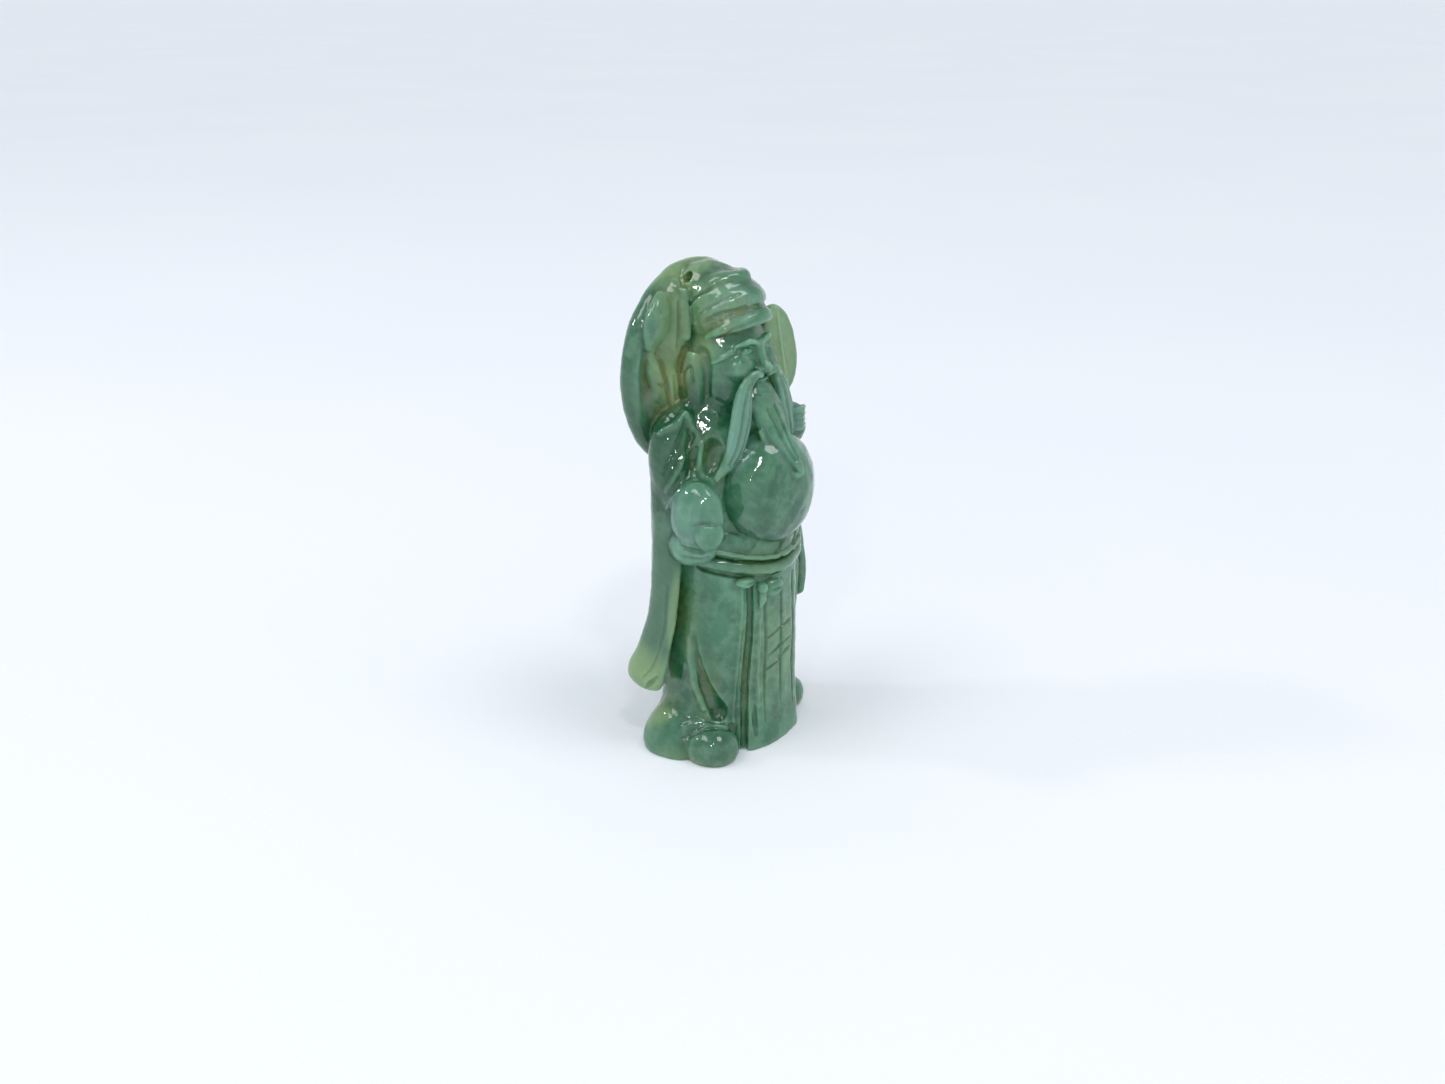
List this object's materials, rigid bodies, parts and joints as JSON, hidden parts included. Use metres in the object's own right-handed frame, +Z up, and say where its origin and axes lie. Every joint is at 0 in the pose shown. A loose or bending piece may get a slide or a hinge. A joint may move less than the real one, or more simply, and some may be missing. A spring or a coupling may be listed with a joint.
{
  "type": "jade figurine",
  "caption": "Small standing robed figure carved from one green stone, with a round belly, a pleated cap, a disc behind the head, an oval fan and a flat base.",
  "frame": {"origin": "centre of the figure's box, on the flat underside it stands on", "axes": "+Z up; the figure faces -Y; its right hand is on the -X side"},
  "size_m": [0.022, 0.017, 0.0509],
  "materials": {
    "jade_green": "polished translucent",
    "jade_pale": "polished translucent",
    "jade_olive": "polished translucent"
  },
  "bodies": {
    "root": {"back_disc": "jade_green", "back_robe": "jade_green", "beard": "jade_green", "belly": "jade_green", "cap_crown": "jade_green", "cap_lower_roll": "jade_green", "cap_middle_roll": "jade_green", "cap_upper_roll": "jade_green", "cord_boss": "jade_green", "fan": "jade_olive", "front_panel": "jade_green", "head": "jade_green", "left_ear": "jade_green", "left_hand": "jade_green", "left_hanging_sleeve": "jade_olive", "left_hat_wing": "jade_green", "left_hem": "jade_green", "left_moustache": "jade_pale", "left_shoe": "jade_green", "left_sleeve": "jade_green", "lower_sash": "jade_green", "nose": "jade_green", "right_ear": "jade_green", "right_hand": "jade_pale", "right_hand_lump": "jade_pale", "right_hanging_sleeve": "jade_olive", "right_hat_wing": "jade_green", "right_hem": "jade_green", "right_moustache": "jade_pale", "right_shoe": "jade_green", "right_sleeve": "jade_green", "right_thumb": "jade_pale", "sash_bow_left": "jade_green", "sash_bow_right": "jade_green", "skirt": "jade_green", "torso": "jade_green", "upper_sash": "jade_green"}
  },
  "joints": []
}
